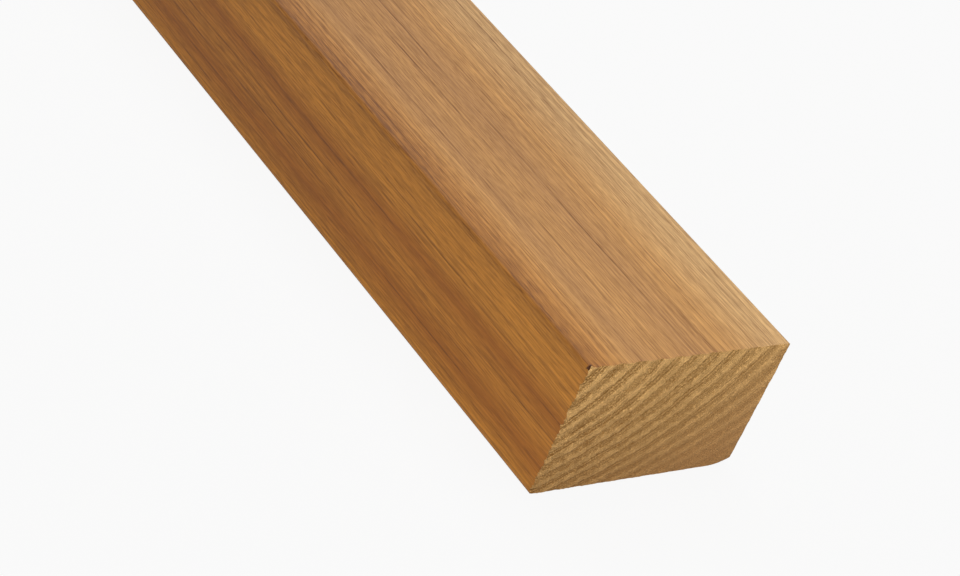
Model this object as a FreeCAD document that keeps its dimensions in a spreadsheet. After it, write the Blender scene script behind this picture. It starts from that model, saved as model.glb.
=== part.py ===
"""Sauna bench slat: one length of planed western red cedar, nominal 2 x 3 in.

The slat is a single stick of solid timber, planed on its four long faces and sawn square
at both ends. It lies flat, with its seat face up.

Frame, in millimetres: the origin is on the underside, at mid-length and mid-width. +X runs
along the grain, +Y across the seat face and +Z up out of the seat face.
"""

import FreeCAD, Part
import Sketcher
import math
import os

# Driving dimensions in millimetres, one spreadsheet row each: alias, value, what it is.
SIZES = [
    ("slat_length", 1828.8, "sawn end to sawn end: 6 ft, the usual bench length"),
    ("slat_width", 63.5, "across the seat face: 2 1/2 in, planed"),
    ("slat_thickness", 38.1, "underside to seat face: 1 1/2 in, planed"),
    ("rolled_arris_width", 7.0, "how far the rolled arris reaches in under the +Y edge face"),
    ("rolled_arris_height", 1.7, "how far the rolled arris rises up the +Y edge face"),
    ("seat_arris_radius", 1.0, "rounded arris where the seat face meets the -Y edge face"),
    ("eased_arris_radius", 0.5, "the other three long arrises, only broken with sandpaper"),
]

PARTS_FOLDER = "parts"
BAD_STATES = ("Invalid", "Error")

# Sketcher's numbers for the ends of a line and for a sketch's own two axes.
LINE_START, LINE_END = 1, 2
SKETCH_X_AXIS, SKETCH_Y_AXIS = -1, -2


def add_size_sheet(doc):
    """Puts every driving dimension in a spreadsheet cell with an alias."""
    sheet = doc.addObject("Spreadsheet::Sheet", "Sizes")
    for row, (alias, value, meaning) in enumerate(SIZES, start=1):
        sheet.set(f"A{row}", alias)
        sheet.set(f"B{row}", str(value))
        sheet.setAlias(f"B{row}", alias)
        sheet.set(f"C{row}", meaning)
    doc.recompute()
    return sheet


def add_section_sketch(body):
    """The planed section on the YZ plane: a rectangle with one arris rolled.

    The sketch's x runs along +Y and its y along +Z. The section stands on the sketch's
    x axis, and its seat face is symmetric about the y axis. The rolled arris is an arc that
    leaves the underside smoothly and meets the +Y edge face at a blunt angle.
    """
    sketch = body.newObject("Sketcher::SketchObject", "section")
    plane = next(f for f in body.Origin.OriginFeatures if f.Role == "YZ_Plane")
    sketch.AttachmentSupport = [(plane, "")]
    sketch.MapMode = "FlatFace"

    # Any section of this form does to start with: the constraints give it its size and place.
    points = [FreeCAD.Vector(*xy, 0) for xy in ((-10, 0), (6, 0), (10, 2), (10, 10), (-10, 10))]
    line_ends = ((0, 1), (2, 3), (3, 4), (4, 0))
    underside, right_edge, seat_face, left_edge = [
        sketch.addGeometry(Part.LineSegment(points[start], points[end]), False)
        for start, end in line_ends
    ]
    # A circle of radius 5 about (6, 5), from straight down round to the +Y edge face.
    circle = Part.Circle(FreeCAD.Vector(6, 5, 0), FreeCAD.Vector(0, 0, 1), 5)
    roll = sketch.addGeometry(Part.ArcOfCircle(circle, math.radians(270), math.radians(323)), False)

    def constrain(*what):
        return sketch.addConstraint(Sketcher.Constraint(*what))

    constrain("Tangent", underside, LINE_END, roll, LINE_START)
    around = (roll, right_edge, seat_face, left_edge, underside)
    for piece, following in zip(around, around[1:]):
        constrain("Coincident", piece, LINE_END, following, LINE_START)
    constrain("Horizontal", underside)
    for line in (right_edge, left_edge):
        constrain("Vertical", line)
    constrain("Symmetric", seat_face, LINE_START, seat_face, LINE_END, SKETCH_Y_AXIS)
    constrain("PointOnObject", underside, LINE_START, SKETCH_X_AXIS)

    driven = (
        ("DistanceX", seat_face, LINE_END, seat_face, LINE_START, 20, "slat_width"),
        ("DistanceY", left_edge, LINE_END, left_edge, LINE_START, 10, "slat_thickness"),
        ("DistanceX", roll, LINE_START, roll, LINE_END, 4, "rolled_arris_width"),
        ("DistanceY", roll, LINE_START, roll, LINE_END, 2, "rolled_arris_height"),
    )
    for *what, alias in driven:
        sketch.setExpression(f"Constraints[{constrain(*what)}]", f"Sizes.{alias}")
    return sketch


def add_stick(doc, body, section):
    """The section padded along the grain, half its length to each side of the origin."""
    stick = body.newObject("PartDesign::Pad", "stick")
    stick.Profile = section
    stick.SideType = "Symmetric"
    stick.setExpression("Length", "Sizes.slat_length")
    doc.recompute()
    return stick


def long_edge(feature, y_side, z_side):
    """The name of the edge along X that lies furthest to the given sides, each -1 or 1."""
    along_grain = [
        (number, edge)
        for number, edge in enumerate(feature.Shape.Edges, start=1)
        if edge.BoundBox.YLength < edge.BoundBox.XLength > edge.BoundBox.ZLength
    ]
    number, _ = max(
        along_grain,
        key=lambda item: y_side * item[1].CenterOfMass.y + z_side * item[1].CenterOfMass.z,
    )
    return f"Edge{number}"


def round_arris(doc, body, name, base, radius, *sides):
    """Rounds one or more long arrises of base with the radius in the named cell."""
    fillet = body.newObject("PartDesign::Fillet", name)
    fillet.Base = (base, [long_edge(base, y_side, z_side) for y_side, z_side in sides])
    fillet.setExpression("Radius", f"Sizes.{radius}")
    body.Tip = fillet
    doc.recompute()
    return fillet


def add_slat(doc):
    """The slat: a sawn stick with its sharp long arrises rounded or eased."""
    body = doc.addObject("PartDesign::Body", "slat")
    body.Label = "slat"
    section = add_section_sketch(body)
    stick = add_stick(doc, body, section)
    seat = round_arris(doc, body, "seat_arris", stick, "seat_arris_radius", (-1, 1))
    eased = ((1, 1), (-1, -1), (1, -1))
    round_arris(doc, body, "eased_arrises", seat, "eased_arris_radius", *eased)
    return body


def check(doc, bodies):
    """Stops the build if an object failed or a sub-part's shape is missing or not sound."""
    for thing in doc.Objects:
        if any(state in BAD_STATES for state in thing.State):
            raise RuntimeError(f"{thing.Label} failed: {thing.State}")
    for body in bodies:
        if body.Shape.isNull() or not body.Shape.isValid() or not body.Shape.Solids:
            raise RuntimeError(f"{body.Label} has no sound solid")


def main():
    doc = FreeCAD.newDocument("sauna_bench_slat")
    add_size_sheet(doc)
    bodies = [add_slat(doc)]
    doc.recompute()
    check(doc, bodies)
    os.makedirs(PARTS_FOLDER, exist_ok=True)
    for body in bodies:
        box = body.Shape.BoundBox
        body.Shape.exportStep(os.path.join(PARTS_FOLDER, f"{body.Label}.step"))
        print(
            f"{body.Label}: {box.XLength:.1f} x {box.YLength:.1f} x {box.ZLength:.1f} mm, "
            f"{body.Shape.Volume / 1e6:.4f} litres, {len(body.Shape.Solids)} solid"
        )


main()
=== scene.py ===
"""Looks of a sauna bench slat: one stick of western red cedar, planed, with sawn ends.

The stick is cut from one block of wood. Its growth rings are a solid pattern, so the lines
on the long faces run on as arcs over the sawn ends, and the relief follows the same rings.
Lengths are in metres unless a name says otherwise.
"""

import math

import bmesh
import bpy
from bpy.props import FloatProperty, FloatVectorProperty, IntProperty, PointerProperty
from mathutils import Matrix, Vector


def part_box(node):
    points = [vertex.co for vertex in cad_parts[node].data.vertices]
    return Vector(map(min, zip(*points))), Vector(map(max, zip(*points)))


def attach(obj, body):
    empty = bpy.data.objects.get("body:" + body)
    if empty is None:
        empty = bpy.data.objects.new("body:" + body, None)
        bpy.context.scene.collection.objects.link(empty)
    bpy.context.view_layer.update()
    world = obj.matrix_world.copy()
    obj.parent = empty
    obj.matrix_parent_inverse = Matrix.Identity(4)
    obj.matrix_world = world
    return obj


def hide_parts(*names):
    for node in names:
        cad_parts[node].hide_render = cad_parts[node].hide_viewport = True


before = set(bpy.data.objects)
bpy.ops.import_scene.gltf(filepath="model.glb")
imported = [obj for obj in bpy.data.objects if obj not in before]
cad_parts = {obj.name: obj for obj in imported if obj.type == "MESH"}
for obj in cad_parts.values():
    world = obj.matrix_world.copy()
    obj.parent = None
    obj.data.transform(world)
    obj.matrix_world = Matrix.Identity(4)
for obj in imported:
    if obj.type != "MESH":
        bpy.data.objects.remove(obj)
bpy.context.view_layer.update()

bl_info = {
    "name": "Cedar sauna bench slat",
    "version": (1, 0, 0),
    "blender": (4, 5, 0),
    "location": "3D View > Sidebar > Slat",
    "description": "Makes a planed western red cedar slat with sawn ends, and a plain stage for it",
    "category": "Add Mesh",
}

MM = 0.001
LOW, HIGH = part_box("slat")

# The growth rings: flattened ovals round a pith far out past the -Y edge face and just
# above the seat face. Ring radii are measured upright, where the ovals are narrowest.
PITH_Y_MM = -332.5
PITH_Z_MM = 51.0
RING_FLATNESS = 0.28
# The radius of the ring border that the bold rings are counted from.
FIRST_RING_MM = 86.4
# The rings widen outwards: the count falls short by this share for each mm.
RING_WIDENING = 1 / 275

# The heartwood's tone changes between these ring radii, which the seat face about spans.
TONE_START_MM = 84.0
TONE_END_MM = 102.0

# How far from its -Y arris the seat takes to reach its full paleness, partly painted sheen,
# and to lose the painted shade beside that arris.
SEAT_TONE_MM = 12

# The camera: where it stands, what it looks at, and how far it is turned about its view.
CAMERA_PLACE = (1.2406, -0.4361, 0.3650)
CAMERA_AIM = (0.8860, -0.0451, 0.0397)
CAMERA_ROLL = math.radians(-24.4)
CAMERA_LENS_MM = 103.2
SENSOR_MM = 36

# The stage: each lamp's place, and its length and width; half the floor's width; and how
# much of the floor looks plain white to the camera, the rest of it showing the shadow.
SOFTBOX_PLACE = (0, 0.25, 1.25)
SOFTBOX_SIZE = (3.0, 0.9)
FILL_PLACE = (1.66, -0.50, 0.50)
FILL_SIZE = (0.7, 0.5)
FLOOR_REACH = 20
FLOOR_WHITENESS = 0.92


def linear(hex_colour):
    """An sRGB hex colour as the linear red, green and blue that Blender works in."""
    parts = [int(hex_colour[i : i + 2], 16) / 255 for i in (1, 3, 5)]
    return [p / 12.92 if p <= 0.04045 else ((p + 0.055) / 1.055) ** 2.4 for p in parts]


class SlatSizes(bpy.types.PropertyGroup):
    """The sizes of the stick and of its wood grain."""

    seat_arris: FloatProperty(
        name="Seat arris", description="Radius where the seat meets the -Y edge face",
        default=1.0 * MM, min=0, unit="LENGTH", subtype="DISTANCE")
    eased_arris: FloatProperty(
        name="Eased arris", description="Radius of the two square arrises broken by sanding",
        default=0.5 * MM, min=0, unit="LENGTH", subtype="DISTANCE")
    blunt_arris: FloatProperty(
        name="Blunt arris", description="How far sanding broke the rolled arris's blunt edge",
        default=0.3 * MM, min=0, unit="LENGTH", subtype="DISTANCE")
    roll_width: FloatProperty(
        name="Roll width", description="How far the rolled arris reaches in under +Y",
        default=7.0 * MM, min=1 * MM, unit="LENGTH", subtype="DISTANCE")
    roll_height: FloatProperty(
        name="Roll height", description="How far the rolled arris rises up the +Y edge face",
        default=1.7 * MM, min=0.1 * MM, unit="LENGTH", subtype="DISTANCE")
    mesh_pitch: FloatProperty(
        name="Mesh pitch", description="Spacing of the mesh across the grain",
        default=0.4 * MM, min=0.2 * MM, unit="LENGTH", subtype="DISTANCE")
    stations: IntProperty(
        name="Stations", description="Stretches of mesh along the grain", default=128, min=8)
    ring_pitch: FloatProperty(
        name="Ring pitch", description="Thickness of the innermost bold growth ring",
        default=1.6 * MM, min=0.5 * MM, unit="LENGTH", subtype="DISTANCE")
    saw_depth: FloatProperty(
        name="Saw depth", description="Depth between the ring ridges of a sawn end",
        default=0.26 * MM, min=0, unit="LENGTH", subtype="DISTANCE")
    tear_depth: FloatProperty(
        name="Tear depth", description="Depth of the fibres torn out of a sawn end",
        default=0.24 * MM, min=0, unit="LENGTH", subtype="DISTANCE")
    splinter_depth: FloatProperty(
        name="Splinter depth", description="Depth of the splinters out of a sawn end's rim",
        default=0.5 * MM, min=0, unit="LENGTH", subtype="DISTANCE")
    chip_depth: FloatProperty(
        name="Chip depth", description="Depth of the chip out of the seat corner of a sawn end",
        default=0.6 * MM, min=0, unit="LENGTH", subtype="DISTANCE")
    planed_depth: FloatProperty(
        name="Planed depth", description="Depth of the grain left raised by the planer",
        default=0.04 * MM, min=0, unit="LENGTH", subtype="DISTANCE")


class CedarColours(bpy.types.PropertyGroup):
    """The colours of the wood, from the pith side outwards, and of its sawn ends; some of them
    also carry painted sheen, highlight and shade.
    """

    olive: FloatVectorProperty(
        name="Olive", description="Brown-green wood along the seat arris",
        default=linear("#BA7C30"), size=3, subtype="COLOR", min=0, max=1)
    russet: FloatVectorProperty(
        name="Russet", description="Red-brown heartwood",
        default=linear("#D68F38"), size=3, subtype="COLOR", min=0, max=1)
    umber: FloatVectorProperty(
        name="Umber", description="The darkest band of heartwood",
        default=linear("#B26C24"), size=3, subtype="COLOR", min=0, max=1)
    # Partly pale wood, partly painted sheen that brightens the seat towards +Y.
    straw_and_sheen: FloatVectorProperty(
        name="Straw", description="Pale wood towards the +Y edge face",
        default=linear("#E6B67A"), size=3, subtype="COLOR", min=0, max=1)
    # Also the colour of the painted shade on the long faces and the sawn ends.
    latewood_and_shade: FloatVectorProperty(
        name="Latewood", description="Dark wood of the ring borders; darker marks are tinted with it",
        default=linear("#70400F"), size=3, subtype="COLOR", min=0, max=1)
    # Partly painted sheen: the lit seat's satin look, over the sanded wood's own colour.
    sanded_and_sheen: FloatVectorProperty(
        name="Sanded", description="The paler, yellower wood that sanding leaves on the seat",
        default=linear("#DCB87E"), size=3, subtype="COLOR", min=0, max=1)
    bark_brown: FloatVectorProperty(
        name="Bark brown", description="The chip at the seat corner of a sawn end",
        default=linear("#441F04"), size=3, subtype="COLOR", min=0, max=1)
    # Partly painted highlight on the lit ridges, over the hard wood's own colour.
    sawn_ridge_and_highlight: FloatVectorProperty(
        name="Sawn ridge", description="Hard ridges of a sawn end",
        default=linear("#F2C07A"), size=3, subtype="COLOR", min=0, max=1)
    # Partly painted shade in the valleys, over the torn wood's own colour.
    sawn_valley_and_shade: FloatVectorProperty(
        name="Sawn valley", description="Soft torn wood between the ridges of a sawn end",
        default=linear("#8E6228"), size=3, subtype="COLOR", min=0, max=1)
    sawn_red: FloatVectorProperty(
        name="Sawn red", description="Redder wood low on the +Y side of a sawn end",
        default=linear("#D29E64"), size=3, subtype="COLOR", min=0, max=1)


class StudioSettings(bpy.types.PropertyGroup):
    """The light on the plain stage."""

    sky: FloatProperty(
        name="Sky", description="Even light from all round", default=0.28, min=0)
    softbox_power: FloatProperty(
        name="Softbox", description="Power of the long lamp overhead", default=14.1, min=0,
        unit="POWER")
    fill_power: FloatProperty(
        name="Fill", description="Power of the lamp in front, beside the near end", default=8.6,
        min=0, unit="POWER")
    floor: FloatVectorProperty(
        name="Floor", description="Colour of the matt paper floor",
        default=linear("#CCCCCA"), size=3, subtype="COLOR", min=0, max=1)


def add(tree, kind, inputs=(), out=0, **settings):
    """Adds a node with its settings and its input values or links; returns one output.

    The inputs come in the order of the node's sockets, or by name in a dictionary.
    """
    node = tree.nodes.new(kind)
    for name, value in settings.items():
        setattr(node, name, value)
    for key, value in inputs.items() if isinstance(inputs, dict) else enumerate(inputs):
        if isinstance(value, bpy.types.NodeSocket):
            tree.links.new(value, node.inputs[key])
        else:
            node.inputs[key].default_value = value
    return node.outputs[out] if node.outputs else None


def mottle(tree, position, size_mm, detail=1.0, low=0.35, high=0.65):
    """A pattern from 0 to 1 whose blotches are about this size in mm along X, Y and Z.

    low and high are the noise levels that become 0 and 1: close together, they leave patches.
    """
    per_metre = [1 / (size * MM) for size in size_mm]
    place = add(tree, "ShaderNodeVectorMath", (position, per_metre), operation="MULTIPLY")
    noise = add(tree, "ShaderNodeTexNoise", {
        "Vector": place, "Scale": 1, "Detail": detail, "Roughness": 0.6})
    return add(tree, "ShaderNodeMapRange", (noise, low, high), interpolation_type="SMOOTHSTEP")


def ring_radius(tree, position):
    """How far out from the pith a point of the wood lies, in mm, with the grain's wander."""
    flatten = (0, RING_FLATNESS / MM, 1 / MM)
    to_pith = (0, -PITH_Y_MM * RING_FLATNESS, -PITH_Z_MM)
    arm = add(tree, "ShaderNodeVectorMath", (position, flatten, to_pith),
              operation="MULTIPLY_ADD")
    radius = add(tree, "ShaderNodeVectorMath", (arm,), out="Value", operation="LENGTH")
    for size_mm, swing_mm in (((420, 70, 70), 0.6), ((38, 9, 9), 0.14)):
        swing = add(tree, "ShaderNodeMath", (mottle(tree, position, size_mm), 0.5),
                    operation="SUBTRACT")
        radius = add(tree, "ShaderNodeMath", (swing, swing_mm, radius),
                     operation="MULTIPLY_ADD")
    return radius


def ring_count(tree, radius, ring_pitch):
    """How many bold rings lie inside this radius. Whole numbers are the rings' borders."""
    out = add(tree, "ShaderNodeMath", (radius, FIRST_RING_MM), operation="SUBTRACT")
    share = add(tree, "ShaderNodeMath", (out, -RING_WIDENING, 1), operation="MULTIPLY_ADD")
    narrow = add(tree, "ShaderNodeMath", (out, share), operation="MULTIPLY")
    return add(tree, "ShaderNodeMath", (narrow, MM / ring_pitch), operation="MULTIPLY")


def fine_lines(tree, radius, spacing_mm):
    """Lines from 0 to 1 that follow the rings, unevenly, about this far apart."""
    across = add(tree, "ShaderNodeMath", (radius, 1 / spacing_mm), operation="MULTIPLY")
    noise = add(tree, "ShaderNodeTexNoise", {"W": across, "Scale": 1, "Detail": 1.5},
                noise_dimensions="1D")
    return add(tree, "ShaderNodeMapRange", (noise, 0.3, 0.7), interpolation_type="SMOOTHSTEP")


def ridges_of(tree, count, position):
    """1 along the middle of each bold ring, 0 at its borders, uneven as saw teeth leave it."""
    ragged = mottle(tree, position, (6, 1.2, 1.2), detail=2)
    shifted = add(tree, "ShaderNodeMath", (ragged, 0.16, count), operation="MULTIPLY_ADD")
    centred = add(tree, "ShaderNodeMath", (shifted, 0.08), operation="SUBTRACT")
    fold = add(tree, "ShaderNodeMath", (centred, 0.5), operation="PINGPONG")
    ridge = add(tree, "ShaderNodeMapRange", (fold, 0.14, 0.42), interpolation_type="SMOOTHSTEP")
    worn = mottle(tree, position, (5, 3, 3), detail=2)
    height = add(tree, "ShaderNodeMath", (worn, -0.45, 1), operation="MULTIPLY_ADD")
    return add(tree, "ShaderNodeMath", (ridge, height), operation="MULTIPLY")


def from_seat_arris(tree, position):
    """How far a point lies from the line of the seat's -Y arris, in mm."""
    per_mm = (0, 1 / MM, 1 / MM)
    to_arris = (0, -LOW.y / MM, -HIGH.z / MM)
    arm = add(tree, "ShaderNodeVectorMath", (position, per_mm, to_arris),
              operation="MULTIPLY_ADD")
    return add(tree, "ShaderNodeVectorMath", (arm,), out="Value", operation="LENGTH")


def mm_from_end(tree, position):
    """How far a point lies from the nearer sawn end, in mm."""
    x_axis = add(tree, "ShaderNodeSeparateXYZ", (position,))
    from_middle = add(tree, "ShaderNodeMath", (x_axis,), operation="ABSOLUTE")
    return add(tree, "ShaderNodeMath", (from_middle, -1 / MM, HIGH.x / MM),
               operation="MULTIPLY_ADD")


def chipped(tree, position):
    """1 inside the small chip where each sawn end meets the seat's -Y arris, 0 outside it."""
    offset = mottle(tree, position, (0.8, 0.8, 0.8), detail=2)
    ragged = add(tree, "ShaderNodeMath", (offset, 0.5, from_seat_arris(tree, position)),
                 operation="MULTIPLY_ADD")
    across = add(tree, "ShaderNodeMapRange", (ragged, 1.1, 1.3, 1, 0))
    along = add(tree, "ShaderNodeMapRange", (mm_from_end(tree, position), 1.2, 1.6, 1, 0))
    return add(tree, "ShaderNodeMath", (across, along), operation="MULTIPLY")


def sawn_depth(tree, position, sizes):
    """How deep the saw and its torn fibres go into a sawn end, in metres."""
    radius = ring_radius(tree, position)
    ridge = ridges_of(tree, ring_count(tree, radius, sizes.ring_pitch), position)
    # The teeth tear most where they enter, at the -Y edge, and leave the far corner smooth.
    rough = add(tree, "ShaderNodeMapRange", (radius, 108, 88, 0.25, 1))
    torn = mottle(tree, position, (1.1, 1.1, 1.1), detail=3)
    valley = add(tree, "ShaderNodeMath", (ridge, -sizes.saw_depth, sizes.saw_depth),
                 operation="MULTIPLY_ADD")
    whole = add(tree, "ShaderNodeMath", (torn, sizes.tear_depth, valley),
                operation="MULTIPLY_ADD")
    scraped = add(tree, "ShaderNodeMath", (whole, rough), operation="MULTIPLY")
    # Splinters broken out of the rim, where the teeth enter the -Y edge face.
    across = add(tree, "ShaderNodeSeparateXYZ", (position,), out="Y")
    rim = add(tree, "ShaderNodeMapRange", (across, LOW.y + 0.2 * MM, LOW.y + 1.6 * MM,
              sizes.splinter_depth, 0))
    splinter = mottle(tree, position, (0.8, 0.8, 0.8), detail=2, low=0.42, high=0.62)
    splintered = add(tree, "ShaderNodeMath", (splinter, rim, scraped),
                     operation="MULTIPLY_ADD")
    return add(tree, "ShaderNodeMath", (chipped(tree, position), sizes.chip_depth, splintered),
               operation="MULTIPLY_ADD")


def rounded_end(sizes):
    """A bmesh of one end: a grid over the section, drawn in to its four long arrises."""
    width, height = HIGH.y - LOW.y, HIGH.z - LOW.z
    bm = bmesh.new()
    bmesh.ops.create_grid(
        bm, x_segments=round(width / sizes.mesh_pitch),
        y_segments=round(height / sizes.mesh_pitch), size=0.5)
    lay_upright = Matrix(((0, 0, 1, HIGH.x), (width, 0, 0, 0), (0, height, 0, height / 2),
                          (0, 0, 0, 1)))
    bmesh.ops.transform(bm, matrix=lay_upright, verts=bm.verts)
    arrises = {
        (-1, 1): sizes.seat_arris, (1, -1): sizes.blunt_arris,
        (1, 1): sizes.eased_arris, (-1, -1): sizes.eased_arris,
    }
    roll_radius = (sizes.roll_width**2 + sizes.roll_height**2) / (2 * sizes.roll_height)
    for vert in bm.verts:
        side = (1 if vert.co.y > 0 else -1, 1 if vert.co.z > height / 2 else -1)
        radius = arrises[side]
        centre = Vector((HIGH.x, side[0] * (width / 2 - radius),
                         height / 2 + side[1] * (height / 2 - radius)))
        out = vert.co - centre
        reach = min(out.y * side[0], out.z * side[1])
        if reach > 0:
            # A square ring round the arris's centre becomes a round one of the same size.
            vert.co = centre + out * (max(abs(out.y), abs(out.z)) / out.length)
        # The rolled arris lifts the underside; the lift dies away up to the seat face.
        inside = max(0, vert.co.y - (width / 2 - sizes.roll_width))
        rise = roll_radius - math.sqrt(roll_radius**2 - inside**2)
        vert.co.z += rise * (1 - vert.co.z / height)
    return bm


def stick_mesh(sizes, materials):
    """The whole stick: two ends, and long faces stretched between their outlines."""
    bm = rounded_end(sizes)
    near_faces = bm.faces[:]
    far = bmesh.ops.duplicate(bm, geom=bm.verts[:] + bm.edges[:] + bm.faces[:])["geom"]
    bmesh.ops.translate(bm, vec=(LOW.x - HIGH.x, 0, 0),
                        verts=[g for g in far if isinstance(g, bmesh.types.BMVert)])
    far_faces = [g for g in far if isinstance(g, bmesh.types.BMFace)]
    bmesh.ops.reverse_faces(bm, faces=far_faces)
    for face in near_faces + far_faces:
        face.material_index = 1

    outline = [edge for edge in bm.edges if edge.is_boundary]
    for edge in outline:
        edge.smooth = False
    bridge = bmesh.ops.bridge_loops(bm, edges=outline)
    for face in bridge["faces"]:
        face.material_index = 0
    bmesh.ops.subdivide_edges(bm, edges=bridge["edges"], cuts=sizes.stations - 1,
                              use_grid_fill=True)
    bmesh.ops.recalc_face_normals(bm, faces=bm.faces)
    for face in bm.faces:
        face.smooth = True
    mesh = bpy.data.meshes.new("cedar_slat")
    bm.to_mesh(mesh)
    bm.free()
    for material in materials:
        mesh.materials.append(material)
    return mesh


def relief_tree(sizes):
    """Geometry nodes that sink the surface into the wood, as the planer and saw left it."""
    tree = bpy.data.node_groups.new("planed and sawn relief", "GeometryNodeTree")
    for way in ("INPUT", "OUTPUT"):
        tree.interface.new_socket("Geometry", in_out=way, socket_type="NodeSocketGeometry")
    position = add(tree, "GeometryNodeInputPosition")
    normal = add(tree, "GeometryNodeInputNormal")
    # The ends sink straight in along the grain, and the long faces along their normals.
    on_end = add(tree, "ShaderNodeMapRange", (mm_from_end(tree, position), 0.1, 0.2, 1, 0))
    x_axis = add(tree, "ShaderNodeSeparateXYZ", (position,))
    outward = add(tree, "ShaderNodeMath", (x_axis,), operation="SIGN")
    end_normal = add(tree, "ShaderNodeCombineXYZ", (outward,))
    facing = add(tree, "ShaderNodeMix", {"Factor": on_end, 4: normal, 5: end_normal}, out=1,
                 data_type="VECTOR")

    lines = fine_lines(tree, ring_radius(tree, position), 0.45)
    planed = add(tree, "ShaderNodeMath", (lines, sizes.planed_depth), operation="MULTIPLY")
    sawn = sawn_depth(tree, position, sizes)
    depth = add(tree, "ShaderNodeMix", {"Factor": on_end, 2: planed, 3: sawn})
    sink = add(tree, "ShaderNodeMath", (depth, -1), operation="MULTIPLY")
    offset = add(tree, "ShaderNodeVectorMath", {0: facing, "Scale": sink}, operation="SCALE")
    whole = add(tree, "NodeGroupInput")
    moved = add(tree, "GeometryNodeSetPosition", {"Geometry": whole, "Offset": offset})
    add(tree, "NodeGroupOutput", (moved,))
    return tree


def start_material(name):
    """An empty material, with its node tree and the point in object space being shaded."""
    material = bpy.data.materials.new(name)
    material.use_nodes = True
    material.node_tree.nodes.clear()
    return material, material.node_tree, add(
        material.node_tree, "ShaderNodeTexCoord", out="Object")


def heartwood(tree, radius, colours):
    """The wood's colour, which changes from band to band out from the pith. The pale straw band
    is also painted sheen, brightening the seat towards +Y.
    """
    tone = add(tree, "ShaderNodeMapRange", (radius, TONE_START_MM, TONE_END_MM))
    middle = Vector(colours.russet).lerp(Vector(colours.umber), 0.25)
    # The ring radius in mm at the middle of each band, and the band's colour.
    bands = ((85.0, colours.olive), (86.3, colours.russet), (88.0, colours.russet),
             (89.5, colours.umber), (91.7, middle), (94.5, colours.umber),
             (97.5, colours.russet), (101.5, colours.straw_and_sheen))
    node = tree.nodes.new("ShaderNodeValToRGB")
    tree.links.new(tone, node.inputs[0])
    stops = node.color_ramp.elements
    while len(stops) < len(bands):
        stops.new(0.5)
    for stop, (band_mm, colour) in zip(stops, bands):
        stop.position = (band_mm - TONE_START_MM) / (TONE_END_MM - TONE_START_MM)
        stop.color = (*colour, 1)
    return node.outputs[0]


def tinted(tree, base, colour, share):
    """The base colour carried this share of the way to another colour."""
    return add(tree, "ShaderNodeMix", {"Factor": share, 6: base, 7: (*colour, 1)}, out=2,
               data_type="RGBA")


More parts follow.
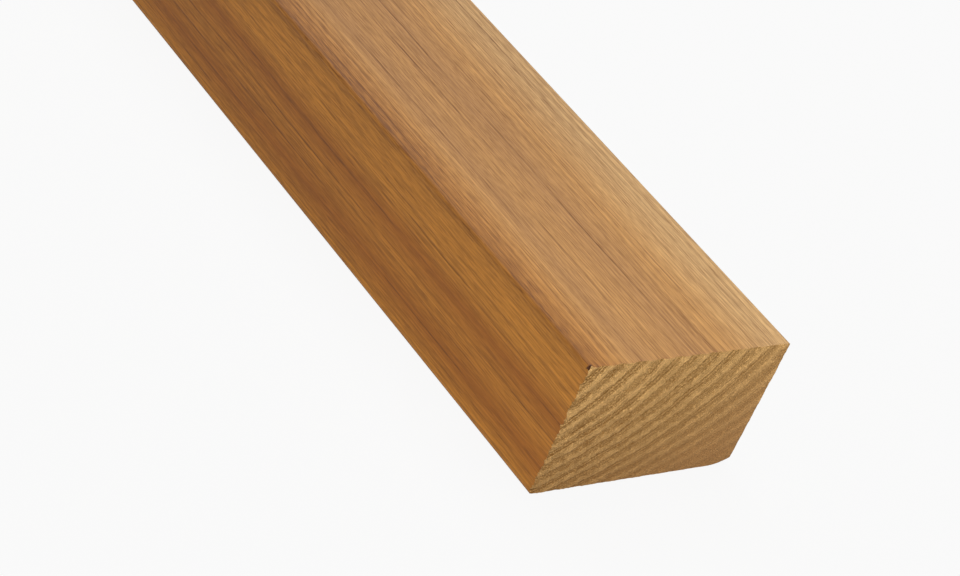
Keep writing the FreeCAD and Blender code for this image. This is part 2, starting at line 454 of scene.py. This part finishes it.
def planed_cedar(sizes, colours):
    """Western red cedar, planed and left bare.

    The planer cuts the fibres lengthways, so the eye sees long fine lines, darker where a
    ring closes, short dashes where fibres are cut open, and a soft satin sheen.
    """
    material, tree, position = start_material("western red cedar, planed")
    radius = ring_radius(tree, position)
    count = ring_count(tree, radius, sizes.ring_pitch)
    wood = heartwood(tree, radius, colours)
    height = add(tree, "ShaderNodeSeparateXYZ", (position,), out="Z")
    # 1 on the seat face, fading to 0 down its rounded arrises.
    on_seat = add(tree, "ShaderNodeMapRange", (height, HIGH.z - 0.9 * MM, HIGH.z - 0.2 * MM))
    # The seat is tinted paler, least beside its -Y arris: partly the sanded wood's own colour,
    # partly painted sheen of the lit seat. Beside that arris it is also tinted darker, which is
    # painted shade of a rounded arris.
    arris = from_seat_arris(tree, position)
    paler = add(tree, "ShaderNodeMapRange", (arris, 0, SEAT_TONE_MM, 0, 0.42))
    sanded_and_sheen = add(tree, "ShaderNodeMath", (on_seat, paler), operation="MULTIPLY")
    painted_arris_shade = add(tree, "ShaderNodeMapRange", (arris, 0, SEAT_TONE_MM, 0.35, 0.04))
    wood = tinted(tree, wood, colours.sanded_and_sheen, sanded_and_sheen)

    # A ring closes in a dark line: it deepens quickly, stops at once, and fades along the grain.
    fold = add(tree, "ShaderNodeMath", (count,), operation="FRACT")
    closing = add(tree, "ShaderNodeMapRange", (fold, 0.84, 0.97), interpolation_type="SMOOTHSTEP")
    stop = add(tree, "ShaderNodeMapRange", (fold, 0.98, 1.0, 1, 0))
    line = add(tree, "ShaderNodeMath", (closing, stop), operation="MULTIPLY")
    fade = mottle(tree, position, (70, 3, 3), detail=2, low=0.42, high=0.62)
    line = add(tree, "ShaderNodeMath", (line, fade), operation="MULTIPLY")
    # In the pale outer wood the lines are fainter.
    outer = add(tree, "ShaderNodeMapRange", (radius, 96, 100, 1, 0.4))
    line = add(tree, "ShaderNodeMath", (line, outer), operation="MULTIPLY")

    # Further in from each sawn end the wood is tinted a little darker: painted shade for the
    # light falling off along the stick away from the lamps by the near end. Beside the seat's
    # -Y arris it is a little darker, painted shade of a rounded arris, and has more of the
    # short dashes.
    painted_falloff = add(tree, "ShaderNodeMapRange", (mm_from_end(tree, position), 20, 120),
                 interpolation_type="SMOOTHSTEP")
    beside = add(tree, "ShaderNodeMapRange", (arris, 1, 5, 1, 0), interpolation_type="SMOOTHSTEP")
    dashed = add(tree, "ShaderNodeMath", (beside, 0.12, 0.10), operation="MULTIPLY_ADD")
    # How much darker than the wood each mark is: ring borders, lines inside a ring, long
    # streaks, fibre bundles, single fibres, short dashes, then the painted shade beside the
    # arris, further in from the ends, and on the seat by its arris.
    shade = 0.0
    for pattern, strength in (
        (line, 0.42),
        (fine_lines(tree, radius, 0.30), 0.18),
        (mottle(tree, position, (120, 2, 2), detail=2, low=0.3, high=0.7), 0.09),
        (mottle(tree, position, (32, 0.42, 0.42), detail=2, low=0.42, high=0.58), 0.18),
        (mottle(tree, position, (5, 0.34, 0.34), detail=1, low=0.40, high=0.60), 0.22),
        (mottle(tree, position, (5, 0.45, 0.45), low=0.56, high=0.66), dashed),
        (beside, 0.03),
        (painted_falloff, 0.10),
        (on_seat, painted_arris_shade),
    ):
        shade = add(tree, "ShaderNodeMath", (pattern, strength, shade), operation="MULTIPLY_ADD")
    # Ring marks and the painted shade both tint the wood towards the dark latewood colour.
    colour = tinted(tree, wood, colours.latewood_and_shade, shade)
    colour = tinted(tree, colour, colours.bark_brown, chipped(tree, position))

    hollow = add(tree, "ShaderNodeMath", (shade, -1), operation="MULTIPLY")
    bump = add(tree, "ShaderNodeBump", {"Height": hollow, "Strength": 0.5,
               "Distance": 0.10 * MM})
    surface = add(tree, "ShaderNodeBsdfPrincipled", {
        "Base Color": colour, "Roughness": 0.55, "IOR": 1.46, "Specular IOR Level": 0.35,
        "Normal": bump})
    add(tree, "ShaderNodeOutputMaterial", (surface,))
    return material


def sawn_cedar(sizes, colours):
    """Western red cedar, sawn across the grain.

    Cut fibre ends scatter the light, so the end is matt. The hard ring wood stands up pale
    and the soft wood between is torn, darker and green-brown; these colours also paint the
    relief's light and shade: highlights on ridges and torn cells, shade in the valleys.
    """
    material, tree, position = start_material("western red cedar, sawn end")
    radius = ring_radius(tree, position)
    count = ring_count(tree, radius, sizes.ring_pitch)
    ridge = ridges_of(tree, count, position)
    speck = mottle(tree, position, (0.32, 0.32, 0.32), detail=2, low=0.4, high=0.6)
    # How pale the end is: ring ridges, torn cells, lines inside a ring, then broad patches.
    # The ridges and torn cells are partly painted highlight, and the valleys painted shade,
    # over the wood's own colour.
    pale = 0.0
    for pattern, strength in (
        (ridge, 0.46),
        (speck, 0.36),
        (fine_lines(tree, radius, 0.22), 0.30),
        (mottle(tree, position, (8, 5, 5), detail=2), 0.10),
    ):
        pale = add(tree, "ShaderNodeMath", (pattern, strength, pale), operation="MULTIPLY_ADD")
    # The torn -Y side is the most uneven: the pattern's swing about its middle is widest there.
    swing = add(tree, "ShaderNodeMapRange", (radius, 86, 108, 1.4, 1.0))
    centred = add(tree, "ShaderNodeMath", (pale, 0.50), operation="SUBTRACT")
    pale = add(tree, "ShaderNodeMath", (centred, swing, 0.55), operation="MULTIPLY_ADD")
    colour = tinted(tree, (*colours.sawn_valley_and_shade, 1), colours.sawn_ridge_and_highlight, pale)
    # The outer rings are redder. The end is tinted darker towards the underside: painted shade,
    # where less light reaches it low down by the floor.
    reddish = add(tree, "ShaderNodeMapRange", (radius, 98, 112, 0, 0.8),
                  interpolation_type="SMOOTHSTEP")
    colour = tinted(tree, colour, colours.sawn_red, reddish)
    height = add(tree, "ShaderNodeSeparateXYZ", (position,), out="Z")
    painted_low_shade = add(tree, "ShaderNodeMapRange", (height, 0, HIGH.z, 0.40, 0))
    colour = tinted(tree, colour, colours.latewood_and_shade, painted_low_shade)
    colour = tinted(tree, colour, colours.bark_brown, chipped(tree, position))
    torn = add(tree, "ShaderNodeMath", (pale, 1.2, speck), operation="MULTIPLY_ADD")
    bump = add(tree, "ShaderNodeBump", {"Height": torn, "Strength": 0.8,
               "Distance": 0.25 * MM})
    surface = add(tree, "ShaderNodeBsdfPrincipled", {
        "Base Color": colour, "Roughness": 0.85, "IOR": 1.46, "Specular IOR Level": 0.25,
        "Normal": bump})
    add(tree, "ShaderNodeOutputMaterial", (surface,))
    return material


class SLAT_OT_cedar_slat(bpy.types.Operator):
    """Makes the cedar stick in place of the plain CAD one"""

    bl_idname = "slat.cedar_slat"
    bl_label = "Make the cedar slat"

    def execute(self, context):
        scene = context.scene
        sizes, colours = scene.slat_sizes, scene.cedar_colours
        materials = (planed_cedar(sizes, colours), sawn_cedar(sizes, colours))
        slat = bpy.data.objects.new("cedar_slat", stick_mesh(sizes, materials))
        scene.collection.objects.link(slat)
        relief = slat.modifiers.new("relief", "NODES")
        relief.node_group = relief_tree(sizes)
        worked = slat.evaluated_get(context.evaluated_depsgraph_get())
        carved = bpy.data.meshes.new_from_object(worked)
        slat.modifiers.clear()
        slat.data = carved
        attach(slat, "root")
        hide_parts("slat")
        return {"FINISHED"}


def seen_rays(tree):
    """1 for the rays that show a thing to the camera: straight, mirrored or through glass."""
    rays = add(tree, "ShaderNodeLightPath").node.outputs
    direct = add(tree, "ShaderNodeMath", (rays["Is Camera Ray"], rays["Is Glossy Ray"]),
                 operation="MAXIMUM")
    return add(tree, "ShaderNodeMath", (direct, rays["Is Transmission Ray"]),
               operation="MAXIMUM")


def paper_floor(colour):
    """Matt white paper: it takes the slat's soft shadow and looks close to plain white."""
    material, tree, _ = start_material("matt white paper")
    matt = add(tree, "ShaderNodeBsdfDiffuse", ((*colour, 1),))
    white = add(tree, "ShaderNodeEmission", ((1, 1, 1, 1), 1))
    share = add(tree, "ShaderNodeMath", (seen_rays(tree), FLOOR_WHITENESS),
                operation="MULTIPLY")
    surface = add(tree, "ShaderNodeMixShader", (share, matt, white))
    add(tree, "ShaderNodeOutputMaterial", (surface,))
    return material


def light_world(strength):
    """Even white light from all round, seen by the camera as plain white."""
    world = bpy.data.worlds.new("white studio")
    world.use_nodes = True
    tree = world.node_tree
    tree.nodes.clear()
    level = add(tree, "ShaderNodeMapRange", (seen_rays(tree), 0, 1, strength, 1))
    sky = add(tree, "ShaderNodeBackground", ((1, 1, 1, 1), level))
    add(tree, "ShaderNodeOutputWorld", (sky,))
    return world


def area_lamp(scene, name, place, aim, size, power):
    """A soft rectangular lamp turned to face a point, itself out of the camera's sight."""
    lamp = bpy.data.lights.new(name, "AREA")
    lamp.shape = "RECTANGLE"
    lamp.size, lamp.size_y = size
    lamp.energy = power
    holder = bpy.data.objects.new(name, lamp)
    holder.location = place
    holder.rotation_euler = (Vector(aim) - Vector(place)).to_track_quat("-Z", "Y").to_euler()
    holder.visible_camera = False
    scene.collection.objects.link(holder)
    return holder


class SLAT_OT_stage(bpy.types.Operator):
    """Makes the paper floor, the lamps and the camera"""

    bl_idname = "slat.stage"
    bl_label = "Set the stage"

    def execute(self, context):
        scene = context.scene
        studio = scene.studio_settings
        bm = bmesh.new()
        bmesh.ops.create_grid(bm, x_segments=1, y_segments=1, size=FLOOR_REACH)
        bmesh.ops.translate(bm, vec=(0, 0, LOW.z), verts=bm.verts)
        mesh = bpy.data.meshes.new("floor")
        bm.to_mesh(mesh)
        bm.free()
        mesh.materials.append(paper_floor(studio.floor))
        floor = bpy.data.objects.new("floor", mesh)
        scene.collection.objects.link(floor)

        scene.world = light_world(studio.sky)
        seat_middle = (0, 0, HIGH.z)
        near_end = (HIGH.x, 0, HIGH.z)
        area_lamp(scene, "softbox", SOFTBOX_PLACE, seat_middle, SOFTBOX_SIZE,
                  studio.softbox_power)
        fill = area_lamp(scene, "fill", FILL_PLACE, near_end, FILL_SIZE, studio.fill_power)
        # The floor lies so close to the fill that it would show a bright patch.
        unlit = bpy.data.collections.new("not lit by the fill")
        unlit.objects.link(floor)
        unlit.collection_objects[0].light_linking.link_state = "EXCLUDE"
        fill.light_linking.receiver_collection = unlit

        camera = bpy.data.objects.new("camera", bpy.data.cameras.new("camera"))
        camera.data.sensor_width = SENSOR_MM
        camera.data.lens = CAMERA_LENS_MM
        camera.data.clip_start = 10 * MM
        look = (Vector(CAMERA_AIM) - Vector(CAMERA_PLACE)).to_track_quat("-Z", "Y")
        turn = Matrix.Rotation(-CAMERA_ROLL, 4, "Z")
        camera.matrix_world = Matrix.Translation(CAMERA_PLACE) @ look.to_matrix().to_4x4() @ turn
        scene.collection.objects.link(camera)
        scene.camera = camera
        scene.view_settings.view_transform = "Standard"
        return {"FINISHED"}


class SLAT_PT_panel(bpy.types.Panel):
    """Lists the slat's settings and what can be made"""

    bl_label = "Cedar slat"
    bl_idname = "SLAT_PT_panel"
    bl_space_type = "VIEW_3D"
    bl_region_type = "UI"
    bl_category = "Slat"

    def draw(self, context):
        for group in SETTINGS:
            box = self.layout.box()
            settings = getattr(context.scene, group)
            for name in settings.__annotations__:
                box.prop(settings, name)
        for operator in OPERATORS:
            self.layout.operator(operator.bl_idname)


SETTINGS = {
    "slat_sizes": SlatSizes,
    "cedar_colours": CedarColours,
    "studio_settings": StudioSettings,
}
OPERATORS = (SLAT_OT_cedar_slat, SLAT_OT_stage)
CLASSES = (*SETTINGS.values(), *OPERATORS, SLAT_PT_panel)


def register():
    for cls in CLASSES:
        bpy.utils.register_class(cls)
    for name, group in SETTINGS.items():
        setattr(bpy.types.Scene, name, PointerProperty(type=group))


def unregister():
    for name in SETTINGS:
        delattr(bpy.types.Scene, name)
    for cls in reversed(CLASSES):
        bpy.utils.unregister_class(cls)


def main():
    register()
    bpy.ops.slat.cedar_slat()
    bpy.ops.slat.stage()


if __name__ == "__main__":
    main()
